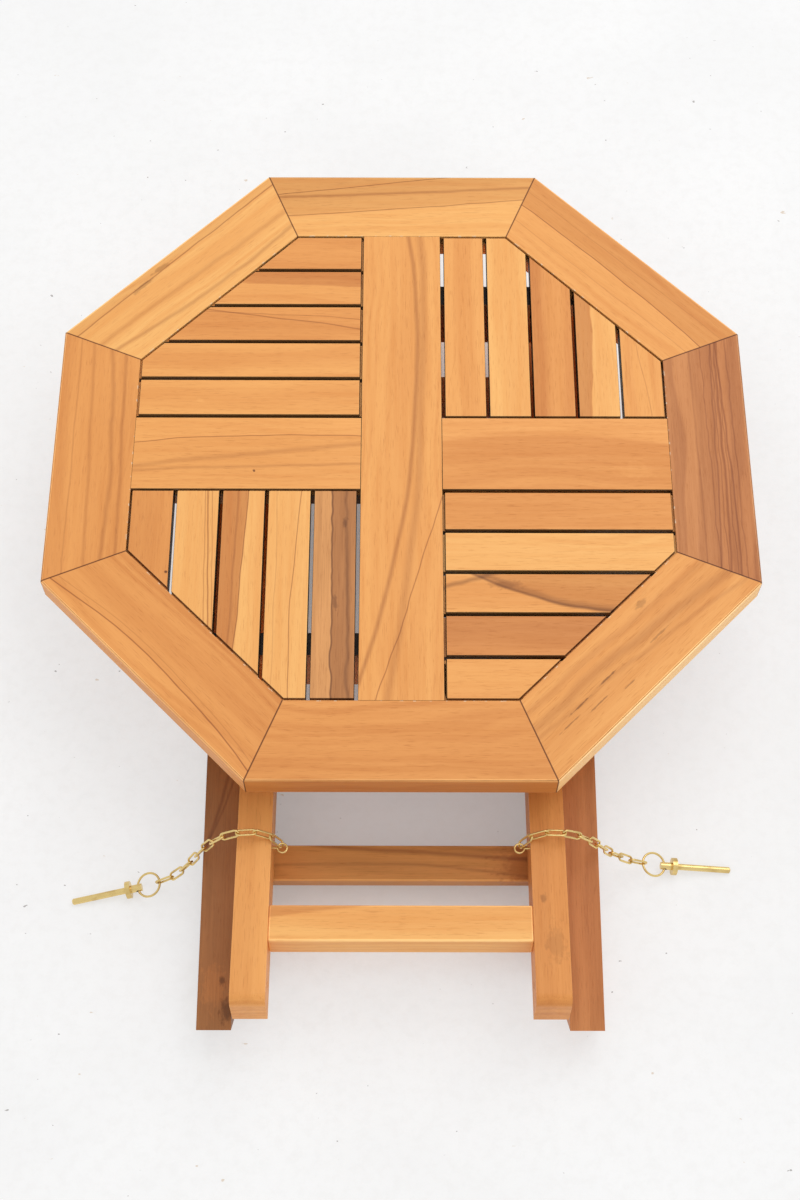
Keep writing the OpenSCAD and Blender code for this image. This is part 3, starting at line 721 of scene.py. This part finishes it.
def eased(node, body, plain):
    """A copy of a CAD board with bevelled edges, in the board's place."""
    mesh = frame["nodes"][node].data.copy()
    mesh.materials.clear()
    shape = bmesh.new()
    shape.from_mesh(mesh)
    bmesh.ops.remove_doubles(shape, verts=shape.verts, dist=SAME_PLACE)
    bmesh.ops.dissolve_limit(shape, angle_limit=FLAT_ANGLE, verts=shape.verts, edges=shape.edges)
    # Face numbers for handling with a painted highlight, and for painted shade.
    wornlit, hidden = (shape.faces.layers.float.new(label) for label in ("wornlit", "hidden"))
    for width, on_outline in ((OUTER_EASE, True), (plain, False)):
        edges = [e for e in shape.edges if e.is_manifold and e.calc_face_angle() > EDGE_ANGLE
                 and e.calc_length() > 3 * width and is_outer(e, node) == on_outline]
        if edges:
            made = bmesh.ops.bevel(shape, geom=edges, offset=width, offset_type="OFFSET", segments=3,
                                   profile=0.5, affect="EDGES", clamp_overlap=True)
            for face in made["faces"]:
                face[wornlit] = HANDLING_AND_HIGHLIGHT[width]
    for face in shape.faces:
        face.smooth = True
        face[hidden] = how_shaded(face, node)
    shape.to_mesh(mesh)
    shape.free()
    mesh.set_sharp_from_angle(angle=SMOOTH_ANGLE)
    piece = bpy.data.objects.new(node + "_board", mesh)
    bpy.context.scene.collection.objects.link(piece)
    weighted = piece.modifiers.new("flat faces stay flat", "WEIGHTED_NORMAL")
    weighted.keep_sharp = True
    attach(piece, body)
    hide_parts(node)
    return piece


print("edges are eased by", [width * 1000 for width in HANDLING_AND_HIGHLIGHT], "mm")

# %% [markdown]
# ## Every board in its place
#
# Each board gets its eased copy and its own material, and rides on the body that the CAD
# model gives it. The depth of the heart and the width of the rings are worked out from
# the seed, so that boards differ in cut and not only in tone.

# %% Dress the boards
record = frame["record"]
body_of = {node: body for body, nodes in record["behaviour"]["bodies"].items() for node in nodes}
slot_of = {part["node"]: part["material_slot"] for part in record["subparts"]}
for node, (tones, seed, marks) in {**BOARDS, **UNDERSIDE}.items():
    low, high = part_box(node)
    rim_size = (2 * MITRE * RIM_MIDDLE, RIM_WIDTH, high.z - low.z) if node in TURN else None
    material = teak(node, tones, seed, place_of(node), marks, rim_size,
                    band=0.005 + 0.0015 * (seed % 3), heart=0.03 + 0.013 * (seed % 5))
    in_frame = "_leg_" in node or "_rail" in node
    piece = eased(node, body_of[node], LEG_EASE if in_frame else PLAIN_EASE)
    piece.data.materials.append(material)
print("dressed", len(BOARDS) + len(UNDERSIDE), "boards")

# %% [markdown]
# ## Brass and steel
#
# The pins, rings, chains and screw eyes are plain brass, handled but not old. A metal
# has no colour of its own below its reflection, so the base colour is the reflection's
# tint and the rest is roughness: fine scratches and dull patches. One group makes both,
# for brass and for the steel of the bolts. The bare CAD solids keep their own shape.

# %% Group: handled metal
metal_group, given, out = group(
    "handled metal",
    [("Place", None), ("Bright", (0.9, 0.7, 0.4, 1.0)), ("Dull", (0.5, 0.35, 0.15, 1.0)),
     ("Polish", 0.25)],
    [("Color", tuple), ("Roughness", float), ("Height", float)])
tree = metal_group
patches = ramp(tree, noise(tree, given["Place"], 90.0, detail=4.0), 0.42, 0.75)
scratches = noise(tree, given["Place"], 900.0, (0.15, 1, 1), 2.0)
dullness = calc(tree, "MULTIPLY", patches, 0.55)
tree.links.new(mix(tree, dullness, given["Bright"], given["Dull"]), out["Color"])
tree.links.new(calc(tree, "ADD", calc(tree, "MULTIPLY", patches, 0.16),
                    calc(tree, "MULTIPLY_ADD", scratches, 0.12, given["Polish"])), out["Roughness"])
tree.links.new(scratches, out["Height"])
print("group:", metal_group.name)


# %% Brass and steel
def metal(name, bright, dull, polish):
    """A metal material with dull patches and fine scratches."""
    material = bpy.data.materials.new(name)
    material.use_nodes = True
    tree = material.node_tree
    shader = tree.nodes["Principled BSDF"]
    coordinates = tree.nodes.new("ShaderNodeTexCoord")
    made = place_group(tree, metal_group, Place=coordinates.outputs["Object"], Bright=bright, Dull=dull,
                       Polish=polish)
    shader.inputs["Metallic"].default_value = 1.0
    tree.links.new(made["Color"], shader.inputs["Base Color"])
    tree.links.new(made["Roughness"], shader.inputs["Roughness"])
    bump = tree.nodes.new("ShaderNodeBump")
    bump.inputs["Strength"].default_value = 0.12
    bump.inputs["Distance"].default_value = 0.0001
    tree.links.new(made["Height"], bump.inputs["Height"])
    tree.links.new(bump.outputs["Normal"], shader.inputs["Normal"])
    return material


brass = metal("brass", tone(236, 208, 140), tone(186, 150, 84), 0.2)
steel = metal("steel", tone(206, 204, 200), tone(150, 147, 142), 0.28)
for node, slot in slot_of.items():
    if slot in ("brass", "steel"):
        data = frame["nodes"][node].data
        data.materials.clear()
        data.materials.append(brass if slot == "brass" else steel)
print("metals:", brass.name, steel.name)

# %% [markdown]
# ## Floor
#
# The floor is concrete under old white paint: nearly white, cloudy and mottled, with a
# few tan flecks of dirt and small dark pits. Four noises of different sizes lay these
# over each other. A picture of a floor would repeat, and the noises don't.

# %% Floor paint
paint = bpy.data.materials.new("painted_concrete")
paint.use_nodes = True
tree = paint.node_tree
shader = tree.nodes["Principled BSDF"]
on_floor = tree.nodes.new("ShaderNodeTexCoord").outputs["Object"]
clouds = ramp(tree, noise(tree, on_floor, 3.0, detail=5.0, roughness=0.6), 0.3, 0.7)
surface = mix(tree, clouds, tone(252, 252, 252), tone(247, 247, 247))
mottling = ramp(tree, noise(tree, on_floor, 75.0, detail=4.0, roughness=0.7), 0.4, 0.7)
flecks = ramp(tree, noise(tree, on_floor, 45.0, (1, 1.6, 1), 3.0), 0.735, 0.76)
pits = ramp(tree, noise(tree, on_floor, 110.0, (1, 1.3, 1), 2.0), 0.75, 0.78)
for spots, strength, colour in ((mottling, 0.4, tone(243, 242, 241)),
                                (flecks, 0.6, tone(214, 190, 160)), (pits, 0.6, tone(120, 112, 106))):
    surface = mix(tree, calc(tree, "MULTIPLY", spots, strength), surface, colour)
tree.links.new(surface, shader.inputs["Base Color"])
shader.inputs["Roughness"].default_value = 0.6
shader.inputs["Specular IOR Level"].default_value = 0.2
bump = tree.nodes.new("ShaderNodeBump")
bump.inputs["Strength"].default_value = 0.2
bump.inputs["Distance"].default_value = 0.002
tree.links.new(noise(tree, on_floor, 60.0, detail=4.0), bump.inputs["Height"])
tree.links.new(bump.outputs["Normal"], shader.inputs["Normal"])
print("floor paint:", paint.name)

# %% [markdown]
# ## A bright floor without more light
#
# In the picture the floor is almost white and its shadows are faint, except between the
# legs, where it is a plain grey. More light would bleach the wood too. So the camera,
# and metal that mirrors the floor, see a share of the paint glowing by itself, which
# lifts the shadows. The share is small in the middle, where the table stands, and grows
# outwards, so the floor gets a painted shadow under the table and painted light beside
# it. From below the floor can be looked through, to show the table's underside.

# %% Floor as it is seen
FLOOR_LIFT, SHADE_LIFT = 0.6, 0.25
SHADE_SIDES, SHADE_ENDS = (0.14, 0.22), (0.34, 0.42)
glow = tree.nodes.new("ShaderNodeEmission")
tree.links.new(surface, glow.inputs["Color"])
path = tree.nodes.new("ShaderNodeLightPath")
seen = calc(tree, "MAXIMUM", path.outputs["Is Camera Ray"],
            calc(tree, "MAXIMUM", path.outputs["Is Glossy Ray"], path.outputs["Is Transmission Ray"]))
spot = tree.nodes.new("ShaderNodeSeparateXYZ")
tree.links.new(on_floor, spot.inputs[0])
# Painted shadow: the glow is weaker round the middle, where the table stands.
beyond_painted_shadow = calc(tree, "MAXIMUM", ramp(tree, calc(tree, "ABSOLUTE", spot.outputs["X"]), *SHADE_SIDES),
            ramp(tree, calc(tree, "ABSOLUTE", spot.outputs["Y"]), *SHADE_ENDS))
share = ramp(tree, beyond_painted_shadow, 0.0, 1.0, SHADE_LIFT, FLOOR_LIFT)
lifted = tree.nodes.new("ShaderNodeMixShader")
tree.links.new(calc(tree, "MULTIPLY", seen, share), lifted.inputs["Fac"])
tree.links.new(shader.outputs["BSDF"], lifted.inputs[1])
tree.links.new(glow.outputs["Emission"], lifted.inputs[2])
clear = tree.nodes.new("ShaderNodeBsdfTransparent")
one_sided = tree.nodes.new("ShaderNodeMixShader")
tree.links.new(tree.nodes.new("ShaderNodeNewGeometry").outputs["Backfacing"], one_sided.inputs["Fac"])
tree.links.new(lifted.outputs["Shader"], one_sided.inputs[1])
tree.links.new(clear.outputs["BSDF"], one_sided.inputs[2])
tree.links.new(one_sided.outputs["Shader"], tree.nodes["Material Output"].inputs["Surface"])
print("the floor glows by", SHADE_LIFT, "below the table and", FLOOR_LIFT, "beside it")

# %% [markdown]
# ## The floor under the feet
#
# One wide square reaches far past the view, so every other view has a floor too. In the
# frame the top stays where it is and the legs go down when the table opens, so the
# floor has to follow a foot. A constraint does that, and it also holds when a pose is
# set from outside this script. FOOT_Y is the place along the outer legs that is at floor
# height both when they lie folded and when they stand.

# %% Floor sheet
FLOOR_REACH = 6.0
FOOT_Y = -0.4255
corners = [(x * FLOOR_REACH, y * FLOOR_REACH, 0) for x, y in ((-1, -1), (1, -1), (1, 1), (-1, 1))]
floor_mesh = bpy.data.meshes.new("floor")
floor_mesh.from_pydata(corners, [], [(0, 1, 2, 3)])
floor_mesh.materials.append(paint)
floor = bpy.data.objects.new("floor", floor_mesh)
bpy.context.scene.collection.objects.link(floor)
foot = bpy.data.objects.new("foot_on_the_floor", None)
bpy.context.scene.collection.objects.link(foot)
foot.location = (0, FOOT_Y, 0)
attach(foot, "outer_frame")
follow = floor.constraints.new("COPY_LOCATION")
follow.target = foot
follow.use_x = follow.use_y = False
print("the floor lies at", round(floor.matrix_world.translation.z, 4))

# %% [markdown]
# ## Light
#
# The picture is lit by big soft sources from above, so the shadows are wide and faint.
# The world gives most of the light, evenly, and one wide lamp above the far right side
# gives the shapes their direction. A small lamp or a sun would draw sharp shadows, which
# the picture doesn't have. Together they are plain light: a white surface comes out
# white, and a colour comes out about as it is written.

# %% Light
WORLD_STRENGTH = 0.8
LAMP_PLACE, LAMP_AIM = Vector((0.9, 1.3, 3.0)), Vector((0, 0, 0.1))
LAMP_SIZE, LAMP_POWER = 2.4, 30
world = bpy.data.worlds.new("studio")
bpy.context.scene.world = world
world.use_nodes = True
backdrop = world.node_tree.nodes["Background"]
backdrop.inputs["Color"].default_value = (1.0, 1.0, 1.0, 1.0)
backdrop.inputs["Strength"].default_value = WORLD_STRENGTH
window_data = bpy.data.lights.new("window", "AREA")
window_data.shape, window_data.size, window_data.energy = "SQUARE", LAMP_SIZE, LAMP_POWER
window = bpy.data.objects.new("window", window_data)
bpy.context.scene.collection.objects.link(window)
window.location = LAMP_PLACE
window.rotation_euler = (LAMP_AIM - LAMP_PLACE).to_track_quat("-Z", "Y").to_euler()
print("lamp:", window.name, LAMP_POWER, "watts")
